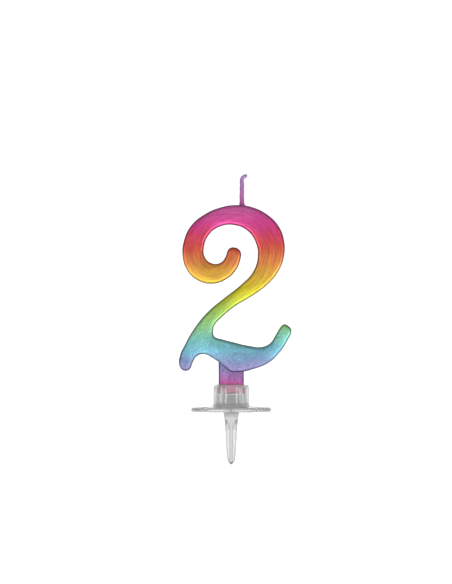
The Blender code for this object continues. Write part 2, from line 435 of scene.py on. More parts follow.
def catmull_rom(points, per_span, cyclic):
    """Points on a smooth curve through the given ones."""
    points = np.asarray(points, float)
    if cyclic:
        padded = np.vstack([points[-1:], points, points[:2]])
    else:
        first = 2 * points[0] - points[1]
        last = 2 * points[-1] - points[-2]
        padded = np.vstack([first, points, last])
    steps = np.linspace(0.0, 1.0, per_span, endpoint=False)[:, None]
    curve = []
    for span in range(len(padded) - 3):
        before, start, end, after = padded[span:span + 4]
        curve.append(0.5 * (
            2 * start
            + (end - before) * steps
            + (2 * before - 5 * start + 4 * end - after) * steps ** 2
            + (3 * start - before - 3 * end + after) * steps ** 3
        ))
    curve = np.vstack(curve)
    return curve if cyclic else np.vstack([curve, points[-1:]])


def evenly_spaced(curve, spacing, cyclic):
    """The same curve with its points a fixed distance apart."""
    closed = np.vstack([curve, curve[:1]]) if cyclic else curve
    lengths = np.linalg.norm(np.diff(closed, axis=0), axis=1)
    travelled = np.concatenate([[0.0], np.cumsum(lengths)])
    count = max(int(round(travelled[-1] / spacing)), 3)
    places = np.linspace(0.0, travelled[-1], count + 1)
    if cyclic:
        places = places[:-1]
    columns = [np.interp(places, travelled, closed[:, axis]) for axis in range(closed.shape[1])]
    return np.stack(columns, axis=1)


def directions(line):
    """Unit vectors along an open line."""
    tangent = np.gradient(line, axis=0)
    return tangent / np.linalg.norm(tangent, axis=1)[:, None]


def softened(values, rounds):
    """Values round a closed loop, averaged with their neighbours a few times."""
    for _ in range(rounds):
        before = np.roll(values, 1, axis=0)
        after = np.roll(values, -1, axis=0)
        values = 0.25 * before + 0.5 * values + 0.25 * after
    return values


def without_straight_points(loop, smallest_turn=0.002):
    """Drop the points at which a closed loop runs straight on."""
    ahead = np.roll(loop, -1, axis=0) - loop
    behind = loop - np.roll(loop, 1, axis=0)
    ahead /= np.linalg.norm(ahead, axis=1)[:, None]
    behind /= np.linalg.norm(behind, axis=1)[:, None]
    turn = np.abs(ahead[:, 0] * behind[:, 1] - ahead[:, 1] * behind[:, 0])
    return loop[turn > smallest_turn]


def nearest_on(points, line):
    """For each point, the number of the line's nearest point and how far away that is."""
    at_once = 2000
    numbers = np.empty(len(points), int)
    gaps = np.empty(len(points))
    for start in range(0, len(points), at_once):
        block = slice(start, start + at_once)
        lengths = np.linalg.norm(points[block, None, :] - line[None, :, :], axis=2)
        numbers[block] = lengths.argmin(axis=1)
        gaps[block] = lengths.min(axis=1)
    return numbers, gaps


def near(values, middle, width):
    """1 at the middle, falling smoothly to almost 0 at twice the width from it."""
    return np.exp(-(((values - middle) / width) ** 2))


def climb(values, start, width):
    """0 up to the start, 1 from a width past it and an even climb between; a width below 0 goes downwards."""
    return np.clip((values - start) / width, 0.0, 1.0)


def rings_round_axis(turns, profile):
    """Points round the Z axis for each (radius, height); a radius may differ from angle to angle."""
    rings = []
    for radius, height in profile:
        level = np.full(len(turns), height)
        rings.append(np.column_stack([radius * np.sin(turns), radius * np.cos(turns), level]))
    return np.vstack(rings)


def stitched(levels, around, closed_stack=False):
    """Quads between rings of equal length; in a closed stack the last ring meets the first."""
    faces = []
    last = levels if closed_stack else levels - 1
    for level in range(last):
        here = level * around
        above = (level + 1) % levels * around
        for index in range(around):
            onward = (index + 1) % around
            faces.append((here + index, here + onward, above + onward, above + index))
    return faces


def capped_stack(levels, around):
    """Quads between rings of equal length, and a face across each end."""
    faces = stitched(levels, around)
    last = (levels - 1) * around
    faces.append(tuple(range(around))[::-1])
    faces.append(tuple(last + index for index in range(around)))
    return faces


def corner_arc(centre, wide, tall, start, end, steps):
    """Points (radius, height) along part of an ellipse, between angles in degrees."""
    turns = np.radians(np.linspace(start, end, steps))
    return [(centre[0] + wide * math.cos(turn), centre[1] + tall * math.sin(turn)) for turn in turns]


# ---- Wax figure ----

OUTLINE_SPACING = 0.28
LACQUER_COAT = 0.15
FIGURE_SHARP = 40.0

# The rounded shoulder between face and side, and the rings down the side as depths below the shoulder
SHOULDER = 1.05
SHOULDER_DROP = 0.95
SHOULDER_POWER = 1.75
SHOULDER_STEPS = 12
SIDE_RINGS = (0.9, 0.35)

# The face, which rises a little from its shoulder to its middle
FACE_SPACING = 0.42
CROWNING = 0.1
CROWNING_WIDTH = 1.6
FACE_EDGE = HALF_DEPTH - CROWNING

# The painted shade line round the rim: how far it reaches in from the outline, and down the side
RIM_WIDTH = 0.16
RIM_FADE = 0.3
RIM_DROP = 0.2
RIM_DROP_FADE = 0.6

# The painted highlight, a light line on the face's lower edges, which face down and a little to the right
GLINT_PLACE = 0.68
GLINT_WIDTH = 0.13
GLINT_STRENGTH = 0.6
GLINT_DEPTH = 0.5
LOW_LIGHT = (0.5, -0.866)
LIGHT_START = 0.45
LIGHT_FADE = 0.3

# The stem, whose section comes from the frame
STEM_SECTION_HEIGHT = 3.0
STEM_COAT = 0.7 * LACQUER_COAT
STEM_SECTION = section_loops("wax_digit", (0.0, 0.0, FOOT + STEM_SECTION_HEIGHT), (0.0, 0.0, 1.0))[0]
STEM_HALF_WIDTH = STEM_SECTION[:, 0].max() + STEM_COAT
STEM_HALF_DEPTH = STEM_SECTION[:, 1].max()
STEM_TOP = FOOT + 11.0
STEM_ROUNDING = 0.8
STEM_CORNER_STEPS = 5
STEM_LEVELS = 12

# The stem's painted shade, dark lines as (start, width): round its corners in degrees, fading in then out,
# and at its foot
CORNER_LINE_IN = (0.0, 15.0)
CORNER_LINE_OUT = (84.0, -28.0)
CORNER_PAINTED_SHADE = 0.75
FOOT_LINE = (0.45, -0.2)
FOOT_PAINTED_SHADE = 0.6

# Brush mark coordinates: spacing along the stroke, lean through the depth, and the tail's and stem's starts
STROKE_SPACING = 0.5
STROKE_LEAN = 0.3
TAIL_START = 200.0
STEM_START = 50.0
TAIL_MARGIN = 0.5
TOUCHING = 0.01

# Middle of the stroke (x, millimetres above the foot): curl, bowl, diagonal, heel, and the tail by itself
STROKE_MIDDLE = (
    (1.3, 49.4), (0.8, 46.4), (-1.6, 43.1), (-6.3, 41.5), (-11.2, 43.5), (-13.1, 49.4), (-10.9, 56.4),
    (-6.6, 60.2), (-2.0, 61.5), (3.0, 61.6), (7.6, 60.0), (11.3, 56.4), (13.6, 51.0), (13.2, 45.4),
    (10.1, 39.9), (5.4, 35.7), (-0.4, 31.7), (-5.5, 27.5), (-9.3, 23.0), (-12.8, 17.0), (-15.6, 10.4),
)
TAIL_MIDDLE = (
    (-7.5, 17.5), (-2.0, 14.2), (4.0, 12.4), (9.6, 12.8), (14.4, 15.4), (17.4, 19.2), (19.4, 22.8),
)


def inward_normals(outline):
    """Unit vectors into the figure from an anticlockwise outline."""
    tangent = np.roll(outline, -1, axis=0) - np.roll(outline, 1, axis=0)
    tangent /= np.linalg.norm(tangent, axis=1)[:, None]
    return np.stack([-tangent[:, 1], tangent[:, 0]], axis=1)


def figure_outline():
    """The CAD figure's outline, cut in front of the stem, as smooth anticlockwise points (x, z)."""
    before_stem = -3.0
    loop = section_loops("wax_digit", (0.0, before_stem, 0.0), (0.0, 1.0, 0.0))[0][:, [0, 2]]
    corners = without_straight_points(loop)
    curve = evenly_spaced(catmull_rom(corners, per_span=6, cyclic=True), OUTLINE_SPACING, cyclic=True)
    curve = softened(curve, rounds=3)
    x, z = curve.T
    area = 0.5 * np.sum(x * np.roll(z, -1) - np.roll(x, -1) * z)
    curve = curve if area > 0 else curve[::-1]
    return curve - inward_normals(curve) * LACQUER_COAT


def inside(points, outline):
    """True for each point that lies inside the outline."""
    x, z = points.T[:, :, None]
    ax, az = outline.T[:, None, :]
    bx, bz = np.roll(outline, -1, axis=0).T[:, None, :]
    crosses = (az > z) != (bz > z)
    with np.errstate(divide="ignore", invalid="ignore"):
        meets = ax + (z - az) / (bz - az) * (bx - ax)
    return (np.sum(crosses & (x < meets), axis=1) % 2).astype(bool)


def face_points(outline, inner_ring):
    """Evenly scattered points for the inside of the figure's face."""
    gap_to_ring = 0.55 * FACE_SPACING
    low, high = outline.min(axis=0), outline.max(axis=0)
    row_height = FACE_SPACING * math.sqrt(3) / 2
    rows = []
    for row, z in enumerate(np.arange(low[1], high[1], row_height)):
        x = np.arange(low[0] + (row % 2) * FACE_SPACING / 2, high[0], FACE_SPACING)
        rows.append(np.stack([x, np.full(len(x), z)], axis=1))
    grid = np.vstack(rows)
    grid = grid[inside(grid, outline)]
    return grid[nearest_on(grid, inner_ring)[1] > gap_to_ring]


def face_triangles(inner_ring, filling):
    """Triangles over the face, between its edge ring and the points inside it."""
    around = len(inner_ring)
    flat = np.vstack([inner_ring, filling])
    boundary = [(index, (index + 1) % around) for index in range(around)]
    made = geometry.delaunay_2d_cdt([Vector(point) for point in flat], boundary, [], 1, 0.00001, False)
    if len(made[0]) != len(flat):
        raise RuntimeError("the face's outline crosses itself")
    triangles = np.array(made[2])
    return triangles[inside(flat[triangles].mean(axis=1), inner_ring)].tolist()


def shoulder_rings():
    """(inset from the outline, drop below the face's edge) for each ring, from the side to the face."""
    power = 2 / SHOULDER_POWER
    rings = [(0.0, SHOULDER_DROP + below) for below in SIDE_RINGS]
    for turn in np.linspace(0.0, math.pi / 2, SHOULDER_STEPS + 1):
        inset = SHOULDER * (1.0 - abs(math.cos(turn)) ** power)
        drop = SHOULDER_DROP * (1.0 - math.sin(turn) ** power)
        rings.append((inset, drop))
    return rings


def figure_solid(outline):
    """The figure without its stem, as vertices and faces: two crowned faces, shoulders and a side wall."""
    normals = inward_normals(outline)
    around = len(outline)
    half_rings = []
    for inset, drop in shoulder_rings():
        half_rings.append((outline + normals * inset, np.full(around, FACE_EDGE - drop)))
    inner_ring = half_rings[-1][0]
    filling = face_points(outline, inner_ring)
    triangles = face_triangles(inner_ring, filling)
    from_shoulder = np.maximum(nearest_on(filling, outline)[1] - SHOULDER, 0.0)
    filling_depth = FACE_EDGE + CROWNING * (1.0 - np.exp(-from_shoulder / CROWNING_WIDTH))
    half_rings.append((filling, filling_depth))
    vertices = []
    for sign in (-1.0, 1.0):
        for flat, depth in half_rings:
            vertices.append(np.stack([flat[:, 0], sign * depth, flat[:, 1]], axis=1))
    ring_count = len(half_rings) - 1
    half_count = ring_count * around + len(filling)
    faces = []
    for base, order in ((0, 1), (half_count, -1)):
        for quad in stitched(ring_count, around):
            faces.append(tuple(base + index for index in quad)[::order])
        first = base + (ring_count - 1) * around
        for triangle in triangles:
            faces.append(tuple(first + index for index in triangle)[::order])
    for index in range(around):
        onward = (index + 1) % around
        faces.append((index, half_count + index, half_count + onward, onward))
    return np.vstack(vertices), faces


def stem_solid():
    """The stem, with rounded corners and a rounded lower end, as vertices and faces."""
    keep_corners_open = 0.999
    radius = STEM_ROUNDING
    corner = np.linspace(0.0, math.pi / 2, STEM_CORNER_STEPS + 1)
    section = []
    for quarter, (x_side, y_side) in enumerate(((1, 1), (-1, 1), (-1, -1), (1, -1))):
        for turn in corner + quarter * math.pi / 2:
            x = x_side * (STEM_HALF_WIDTH - radius) + radius * math.cos(turn)
            y = y_side * (STEM_HALF_DEPTH - radius) + radius * math.sin(turn)
            section.append((x, y))
    section = np.array(section)
    around = len(section)
    rings = []
    for turn in corner:
        shrink = np.sign(section) * (radius * keep_corners_open * (1.0 - math.sin(turn)))
        height = FOOT + radius * (1.0 - math.cos(turn))
        rings.append(np.column_stack([section - shrink, np.full(around, height)]))
    for height in np.linspace(FOOT + radius, STEM_TOP, STEM_LEVELS)[1:]:
        rings.append(np.column_stack([section, np.full(around, height)]))
    return np.vstack(rings), capped_stack(len(rings), around)


def join_shapes(piece, other):
    """Join another closed shape to a piece, as one skin."""
    modifier = piece.modifiers.new("Union", "BOOLEAN")
    modifier.operation = "UNION"
    modifier.solver = "EXACT"
    modifier.object = other
    bpy.context.view_layer.update()
    evaluated = piece.evaluated_get(bpy.context.evaluated_depsgraph_get())
    mesh = bpy.data.meshes.new_from_object(evaluated)
    piece.modifiers.clear()
    piece.data = mesh
    bpy.data.objects.remove(other, do_unlink=True)


def stroke_coordinates(points):
    """Signed distance from the middle of the stroke, and distance along it, for points (x, z)."""
    found = []
    for middle in (STROKE_MIDDLE, TAIL_MIDDLE):
        curve = catmull_rom(middle, per_span=12, cyclic=False)
        line = evenly_spaced(curve, STROKE_SPACING, cyclic=False) + np.array([0.0, FOOT])
        numbers, gaps = nearest_on(points, line)
        direction = directions(line)[numbers]
        offset = points - line[numbers]
        across = direction[:, 0] * offset[:, 1] - direction[:, 1] * offset[:, 0]
        along = numbers * STROKE_SPACING + np.sum(direction * offset, axis=1)
        found.append((across, along, gaps))
    body, tail = found
    use_tail = tail[2] < body[2] - TAIL_MARGIN
    across = np.where(use_tail, tail[0], body[0])
    along = np.where(use_tail, tail[1] + TAIL_START, body[1])
    return across, along


def figure_painted_rim_light(points, outline):
    """Painted light: 1 in the painted shade line round the rim, below 0 in the painted highlight on the lower
    edges, and 0 elsewhere.
    """
    depth = np.abs(points[:, 1])
    numbers, inset = nearest_on(points[:, [0, 2]], outline)
    on_shoulder = 1.0 - climb(inset, RIM_WIDTH, RIM_FADE)
    on_side = 1.0 - climb(depth, FACE_EDGE - SHOULDER_DROP - RIM_DROP, -RIM_DROP_FADE)
    toward_light = -inward_normals(outline) @ np.array(LOW_LIGHT)
    lit = climb(toward_light[numbers], LIGHT_START, LIGHT_FADE)
    glint = near(inset, GLINT_PLACE, GLINT_WIDTH) * lit * (depth > FACE_EDGE - GLINT_DEPTH)
    return on_shoulder * on_side - glint * GLINT_STRENGTH


def stem_painted_shade(points):
    """How dark each point is in the painted shade lines down the stem's corners and round its foot."""
    beyond_x = np.abs(points[:, 0]) - (STEM_HALF_WIDTH - STEM_ROUNDING)
    beyond_y = np.abs(points[:, 1]) - (STEM_HALF_DEPTH - STEM_ROUNDING)
    turn = np.degrees(np.arctan2(np.maximum(beyond_y, 0.0), np.maximum(beyond_x, 0.0001)))
    on_corner = climb(turn, *CORNER_LINE_IN) * climb(turn, *CORNER_LINE_OUT) * (beyond_x > 0.0)
    at_foot = climb(points[:, 2] - FOOT, *FOOT_LINE)
    return np.maximum(on_corner * CORNER_PAINTED_SHADE, at_foot * FOOT_PAINTED_SHADE)


def add_figure_attributes(piece, outline):
    """Store each point's place on the brushed stroke, and its share of the painted shade and painted
    highlight lines.
    """
    mesh = piece.data
    points = np.empty(len(mesh.vertices) * 3)
    mesh.vertices.foreach_get("co", points)
    points = points.reshape(-1, 3) / MM
    x, y, z = points.T
    on_stem = (z < STEM_TOP) & (np.abs(y) < STEM_HALF_DEPTH + TOUCHING)
    on_stem &= np.abs(x) < STEM_HALF_WIDTH + TOUCHING
    across, along = stroke_coordinates(points[:, [0, 2]])
    across = np.where(on_stem, x + STEM_START, across)
    along = np.where(on_stem, z, along)
    packed = np.column_stack([across, along + y * STROKE_LEAN, np.zeros(len(points))])
    stroke = mesh.attributes.new("stroke", "FLOAT_VECTOR", "POINT")
    stroke.data.foreach_set("vector", packed.astype(np.float32).ravel())
    # Painted shade lines on the stem, and on the figure painted shade round the rim with a painted highlight
    # on its lower edges
    store_numbers(piece, "rim", np.where(on_stem, stem_painted_shade(points), figure_painted_rim_light(points, outline)))


def make_figure(surface):
    """The lacquered figure with its stem, as one casting."""
    outline = figure_outline()
    figure = mesh_piece("rainbow_figure", *figure_solid(outline), surface, FIGURE_SHARP)
    stem = mesh_piece("stem", *stem_solid(), surface, FIGURE_SHARP)
    join_shapes(figure, stem)
    smooth_faces(figure.data, FIGURE_SHARP)
    add_figure_attributes(figure, outline)
    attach(figure, "candle")
    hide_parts("wax_digit")


# ---- Wick ----

WICK_RADIUS = 0.79
WICK_SPACING = 0.16
WICK_SIDES = 20

# The wick's route (x, millimetres above the foot), from inside the base to its bent tip
WICK_ROUTE = (
    (-10.6, 19.6), (-9.3, 23.0), (-5.5, 27.5), (-0.4, 31.7), (5.4, 35.7), (10.1, 39.9), (12.9, 45.0),
    (13.8, 50.0), (12.2, 55.4), (8.3, 59.6), (4.9, 62.1), (3.8, 64.9), (3.65, 68.4), (3.7, 71.8),
    (3.65, 73.5), (3.95, 74.5), (4.75, 75.0), (5.5, 75.25),
)
CROWN_HEIGHT = 64.9

# The three plies, which show only above the crown, and a counter twist that roughens them
WICK_PLIES = 3
PLY_PITCH = 2.6
PLY_DEPTH = 0.055
COUNTER_DEPTH = 0.03
COUNTER_TWIST = 1.4
PLIES_FADE = (-0.2, 1.0)

# The wax drawn up round the wick's foot: its width, the height it fades over, and where it starts
FLARE = 0.42
FLARE_HEIGHT = 0.55
FLARE_START = -1.2

# Thinning in the channel, and near the tip as (share, length)
CHANNEL_THINNING = 0.15
TIP_TAPER = (0.25, 3.0)
TIP_ROUNDING = (0.3, 0.12)


def make_wick(surface):
    """The wick along its whole route: plain in the wax, braided and wax-coated where it stands free."""
    route = [(x, 0.0, FOOT + above) for x, above in WICK_ROUTE]
    curve = catmull_rom(route, per_span=16, cyclic=False)
    line = evenly_spaced(curve, WICK_SPACING, cyclic=False)
    sideways = np.array([0.0, 1.0, 0.0])
    turns = np.linspace(0.0, 2 * math.pi, WICK_SIDES, endpoint=False)
    travelled = np.arange(len(line)) * WICK_SPACING
    above_crown = line[:, 2] - FOOT - CROWN_HEIGHT
    free = climb(above_crown, *PLIES_FADE)
    flare = FLARE * np.exp(-np.maximum(above_crown, 0.0) / FLARE_HEIGHT) * (above_crown > FLARE_START)
    from_tip = travelled[-1] - travelled
    taper = 1.0
    for share, length in (TIP_TAPER, TIP_ROUNDING):
        taper = taper - share * np.exp(-from_tip / length)
    thickness = WICK_RADIUS * taper * (1.0 - CHANNEL_THINNING * (1.0 - free))
    rings = []
    for index, (centre, forward) in enumerate(zip(line, directions(line))):
        upward = np.cross(forward, sideways)
        twist = 2 * math.pi * travelled[index] / PLY_PITCH
        plies = PLY_DEPTH * np.cos(WICK_PLIES * turns + twist)
        counter = COUNTER_DEPTH * np.cos(WICK_PLIES * turns - twist * COUNTER_TWIST)
        radius = thickness[index] * (1.0 + (plies + counter) * free[index]) + flare[index]
        around_centre = np.cos(turns)[:, None] * upward + np.sin(turns)[:, None] * sideways
        rings.append(centre + radius[:, None] * around_centre)
    faces = capped_stack(len(rings), WICK_SIDES)
    wick = mesh_piece("lacquered_wick", np.vstack(rings), faces, surface, sharp=60.0)
    face_outwards(wick)
    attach(wick, "candle")
    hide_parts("wick")


# ---- Clear cup with its flower disc ----

CUP_SLICES = 720
BEVEL = 0.1

# The disc: its petals, and the rounding of their lower and upper edges
PETALS = 6
PETAL_CENTRE = 9.1
PETAL_RADIUS = 4.7
PETAL_SOFTENING = 50
DISC_THICKNESS = 1.9
TIP_THICKNESS = 1.5
TIP_POWER = 0.8
LOWER_ROUNDING = 0.45
UPPER_ROUNDING = 0.7

# The cup's wall, its round rim (wide, tall) and the fillet at its foot
CUP_OUTER = 6.2
CUP_INNER = 5.2
RIM_ROUNDING = (1.0, 1.1)
LIP = 0.12
FILLET = 0.9

# The grip ribs: places to each side, nearness to the axis, and thickness at the top and the foot
RIB_PLACES = (1.9, 3.65)
RIB_REACH = 2.8
RIB_TOP = 8.4
RIB_TOP_THICKNESS = 0.6
RIB_FOOT_THICKNESS = 1.05
RIB_SOFTENING = 3
RIB_FOOT_ROUNDING = 0.25
RIB_TOP_ROUNDING = 0.1
RIB_TOP_SHARE = 0.55

# The stepped hole that takes the spike's cross and head
CROSS_HOLE = 2.5
HEAD_RECESS = 3.2
HEAD_RECESS_DEPTH = 0.9

# Painted highlights, upright light lines on the cup, as (place to each side, half width, strength), stronger
# towards the rim
CUP_LINES = ((1.9, 0.24, 1.0), (3.65, 0.2, 1.0), (5.6, 0.16, 0.8))
LINES_START = 0.4
LINES_AT_FOOT = 0.35
LINES_GAIN = 0.45
OUTER_LINES_GAIN = 1.4

# Painted shade on the outer wall and painted highlight on the inner wall, the disc's darkening, and the
# painted highlights in the notches as (place, half width) sideways and outward
WALL_MIDDLE = CUP_OUTER - 0.3
OUTER_WALL = -0.5
INNER_WALL = 0.5
WALL_GAIN = 0.25
DISC_DARKENING = -0.2
NOTCH_SIDEWAYS = (7.85, 0.4)
NOTCH_OUTWARD = (9.3, 0.7)
PAINTED_LIGHT_CAP = 0.6


def petal_reach(turns):
    """The flower's radius at each angle, with its notches slightly rounded."""
    half = math.pi / PETALS
    folded = np.abs((turns + half) % (2 * half) - half)
    beyond = np.sqrt(PETAL_RADIUS ** 2 - (PETAL_CENTRE * np.sin(folded)) ** 2)
    return softened(PETAL_CENTRE * np.cos(folded) + beyond, PETAL_SOFTENING)


def rib_reach(turns, thickness):
    """The cup's inner radius at each angle, where the grip ribs stand in from the wall."""
    x, y = np.sin(turns), np.cos(turns)
    radius = np.full(len(turns), CUP_INNER)
    for side in (-1, 1):
        for place in RIB_PLACES:
            for middle in (-place, place):
                with np.errstate(divide="ignore", invalid="ignore"):
                    ends = np.stack([(middle - thickness / 2) / x, (middle + thickness / 2) / x])
                    first = np.maximum(RIB_REACH / (y * side), ends.min(axis=0))
                    last = ends.max(axis=0)
                hit = (y * side > 0) & (first < last) & (first < CUP_INNER) & (first > 0)
                radius = np.where(hit, np.minimum(radius, first), radius)
    return softened(radius, RIB_SOFTENING)


def disc_profile(edge):
    """Out along the disc's underside, round the petals' edge and in over the top to the cup's foot."""
    low, high = LOWER_ROUNDING, UPPER_ROUNDING
    underside = edge - low - HEAD_RECESS - BEVEL
    profile = [(HEAD_RECESS + BEVEL + underside * share, 0.0) for share in np.linspace(0.0, 1.0, 8)]
    for inset, height in corner_arc((0.0, low), low, low, -80, 0, 5):
        profile.append((edge - low + inset, height))
    for inset, height in corner_arc((0.0, TIP_THICKNESS - high), high, high, 0, 80, 7):
        profile.append((edge - high + inset, height))
    start = edge - high
    end = CUP_OUTER + FILLET
    for share in np.linspace(0.0, 1.0, 9)[1:]:
        height = TIP_THICKNESS + (DISC_THICKNESS - TIP_THICKNESS) * share ** TIP_POWER
        profile.append((start + (end - start) * share, height))
    return profile + corner_arc((end, DISC_THICKNESS + FILLET), FILLET, FILLET, 260, 180, 6)


def wall_profile():
    """Up the cup's outer wall, over its round rim and down inside to the ribs."""
    rim = CUP_HIGH.z
    wide, tall = RIM_ROUNDING
    profile = [(CUP_OUTER, z) for z in np.linspace(DISC_THICKNESS + FILLET, rim - tall, 9)[1:-1]]
    for radius, height in corner_arc((CUP_OUTER - wide, rim - tall), wide, tall, 0, 90, 8):
        profile.append((max(radius, CUP_INNER + LIP), height))
    profile += corner_arc((CUP_INNER + LIP, rim - LIP), LIP, LIP, 110, 180, 4)
    return profile + [(CUP_INNER, z) for z in (rim - 0.5, RIB_TOP + 0.25, RIB_TOP + RIB_TOP_ROUNDING)]


def rib_profile(turns):
    """Down the ribs, which thicken to their feet, then in over the disc and through the stepped hole."""
    rounding = RIB_FOOT_ROUNDING
    drop = DISC_THICKNESS + rounding - RIB_TOP + RIB_TOP_ROUNDING
    widening = RIB_FOOT_THICKNESS - RIB_TOP_THICKNESS
    profile = []
    for share in np.linspace(0.0, 1.0, 14):
        ribbed = rib_reach(turns, RIB_TOP_THICKNESS + widening * share)
        stands_in = min(1.0, RIB_TOP_SHARE + share * 8)
        height = RIB_TOP - RIB_TOP_ROUNDING + drop * share
        profile.append((CUP_INNER + (ribbed - CUP_INNER) * stands_in, height))
    ribbed = rib_reach(turns, RIB_FOOT_THICKNESS)
    foot_middle = (-rounding, DISC_THICKNESS + rounding)
    for radius, height in corner_arc(foot_middle, rounding, rounding, -15, -90, 4):
        profile.append((ribbed + radius, height))
    start = ribbed - rounding
    for share in np.linspace(0.0, 1.0, 6)[1:]:
        profile.append((start + (CROSS_HOLE + BEVEL - start) * share, DISC_THICKNESS))
    hole = [(CROSS_HOLE, DISC_THICKNESS - BEVEL), (CROSS_HOLE, HEAD_RECESS_DEPTH)]
    recess = [(HEAD_RECESS, HEAD_RECESS_DEPTH), (HEAD_RECESS, BEVEL)]
    return profile + hole + recess


def cup_painted_light(vertices):
    """Painted highlights down the grip ribs, the cup's edges, the inner wall and the notches between petals,
    and painted shade on the outer wall, all lighter towards the rim; darker in the disc.
    """
    sideways = np.abs(vertices[:, 0])
    radius = np.linalg.norm(vertices[:, :2], axis=1)
    height = vertices[:, 2]
    on_outer_wall = radius > WALL_MIDDLE
    lines = [near(sideways, place, width) * strength for place, width, strength in CUP_LINES]
    up_the_cup = climb(height - DISC_THICKNESS, LINES_START, RIB_TOP - DISC_THICKNESS)
    in_the_cup = (height > DISC_THICKNESS + LINES_START) & (height < RIB_TOP + 0.3)
    ribs = np.max(lines, axis=0) * (LINES_AT_FOOT + up_the_cup * LINES_GAIN) * in_the_cup
    ribs = ribs * np.where(on_outer_wall, OUTER_LINES_GAIN, 1.0)
    notches = near(sideways, *NOTCH_SIDEWAYS) * near(radius, *NOTCH_OUTWARD)
    disc = (height < DISC_THICKNESS + 0.05) & (radius > CUP_OUTER)
    wall = np.where(on_outer_wall, OUTER_WALL, INNER_WALL) + up_the_cup * WALL_GAIN
    above_disc = height > DISC_THICKNESS + 0.2
    painted_light = ribs + np.where(disc, notches + DISC_DARKENING, wall * above_disc)
    return np.minimum(painted_light, PAINTED_LIGHT_CAP)


def make_cup(surface):
    """Disc, cup and ribs as one moulding: a profile that changes with the angle round the axis."""
    turns = np.linspace(0.0, 2 * math.pi, CUP_SLICES, endpoint=False)
    edge = petal_reach(turns + math.pi / 2)
    edge *= CUP_HIGH.x / edge.max()
    profile = disc_profile(edge) + wall_profile() + rib_profile(turns)
    vertices = rings_round_axis(turns, profile)
    faces = stitched(len(profile), CUP_SLICES, closed_stack=True)
    cup = mesh_piece("clear_flower_cup", vertices, faces, surface, sharp=50.0)
    face_outwards(cup)
    # Painted highlights and painted shade on the cup
    store_numbers(cup, "painted_light", cup_painted_light(vertices))
    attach(cup, "holder")
    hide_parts("candle_cup")


# ---- Clear spike ----

SPIKE_SLICES = 288
CROSS_SOFTENING = 2

# The cross that stands up in the cup, and the flared head under it
SEAT_REACH = 2.2
SEAT_HALF_WEB = 0.6
SEAT_ROUNDING = 0.12
SEAT_FILLET = 0.12
HEAD_RADIUS = 2.9
HEAD_TOP = 0.6
HEAD_ROUNDING = 0.15

# The spike: its webs, the heights between which the flutes open, and its side as (height, radius)
SPIKE_HALF_WEB = 0.45
FLUTE_START = -2.4
FLUTE_END = -5.8
SPIKE_SIDE = ((0.0, 2.9), (-1.6, 2.5), (-5.0, 2.15), (-11.7, 1.82), (-16.4, 1.42), (-17.6, 0.9))

# The point: the height at which it starts to close, its reach there and at the tip
POINT_START = -17.2
POINT_REACH = 1.05
TIP_REACH = 0.12
POINT_POWER = 0.8

# Painted shade, dark lines on the arms, as half widths: down their roots, down their flanks and on their
# corners
ROOT_LINE = 0.12
FLANK_PLACE = 0.38
FLANK_LINE = 0.09
CORNER_SIDEWAYS = 0.08
CORNER_OUTWARD = 0.12
SPIKE_LINES_FADE = 2.2
# Painted shade over the seat cross inside the cup
SEAT_PAINTED_SHADE = 0.6


def spike_reach(height):
    """The spike's radius over its arms at a height."""
    heights, radii = np.array(SPIKE_SIDE)[::-1].T
    return np.interp(height, heights, radii)


def cruciform(turns, reach, half_web):
    """Radius at each angle of a cross with slightly softened corners."""
    with np.errstate(divide="ignore"):
        arms = np.maximum(half_web / np.abs(np.sin(turns)), half_web / np.abs(np.cos(turns)))
    return softened(np.minimum(reach, arms), CROSS_SOFTENING)


def seat_profile(turns):
    """The seat cross from its top down, and the head's top and edge."""
    top = SPIKE_HIGH.z
    cross = cruciform(turns, SEAT_REACH, SEAT_HALF_WEB)
    shaft = np.linspace(top - SEAT_ROUNDING, HEAD_TOP + HEAD_ROUNDING, 8)
    return [
        (cross * 0.3, top),
        (cross - SEAT_ROUNDING, top),
        (cross - 0.03, top - 0.04),
        *((cross, height) for height in shaft),
        (cross + SEAT_FILLET, HEAD_TOP),
        (HEAD_RADIUS - HEAD_ROUNDING, HEAD_TOP),
        (HEAD_RADIUS - 0.04, HEAD_TOP - 0.04),
        (HEAD_RADIUS, HEAD_TOP - HEAD_ROUNDING),
    ]


def flute_profile(turns):
    """From the head down: a round neck that opens into four flutes, and the point."""
    heights = np.concatenate([
        np.linspace(0.0, FLUTE_START, 8),
        np.linspace(FLUTE_START, FLUTE_END, 10)[1:],
        np.linspace(FLUTE_END, POINT_START, 22)[1:],
    ])
    profile = []
    for height in heights:
        reach = spike_reach(height)
        opened = climb(height, FLUTE_START, FLUTE_END - FLUTE_START)
        half_web = SPIKE_HALF_WEB + (reach / math.sqrt(2) - SPIKE_HALF_WEB) * (1.0 - opened)
        profile.append((cruciform(turns, reach, half_web), height))
    for share in np.linspace(0.0, 1.0, 6)[1:]:
        reach = POINT_REACH * (1.0 - share) + TIP_REACH * share
        height = POINT_START + (SPIKE_LOW.z - POINT_START) * share ** POINT_POWER
        profile.append((cruciform(turns, reach, SPIKE_HALF_WEB), height))
    return profile


def spike_painted_shade(vertices):
    """Painted shade along the roots, corners and flanks of the spike's arms, and over the seat cross."""
    outward = np.abs(vertices[:, :2]).max(axis=1)
    sideways = np.abs(vertices[:, :2]).min(axis=1)
    height = vertices[:, 2]
    reach = spike_reach(height)
    root = near(outward, SPIKE_HALF_WEB, ROOT_LINE)
    on_arm_side = sideways > SPIKE_HALF_WEB * 0.8
    flank = near(outward, reach - FLANK_PLACE, FLANK_LINE) * on_arm_side
    corner = near(sideways, SPIKE_HALF_WEB, CORNER_SIDEWAYS) * near(outward, reach, CORNER_OUTWARD)
    on_flutes = climb(height, FLUTE_START, -SPIKE_LINES_FADE)
    lines = np.maximum(root, np.maximum(flank, corner)) * on_flutes
    return -lines - (height > HEAD_TOP) * SEAT_PAINTED_SHADE


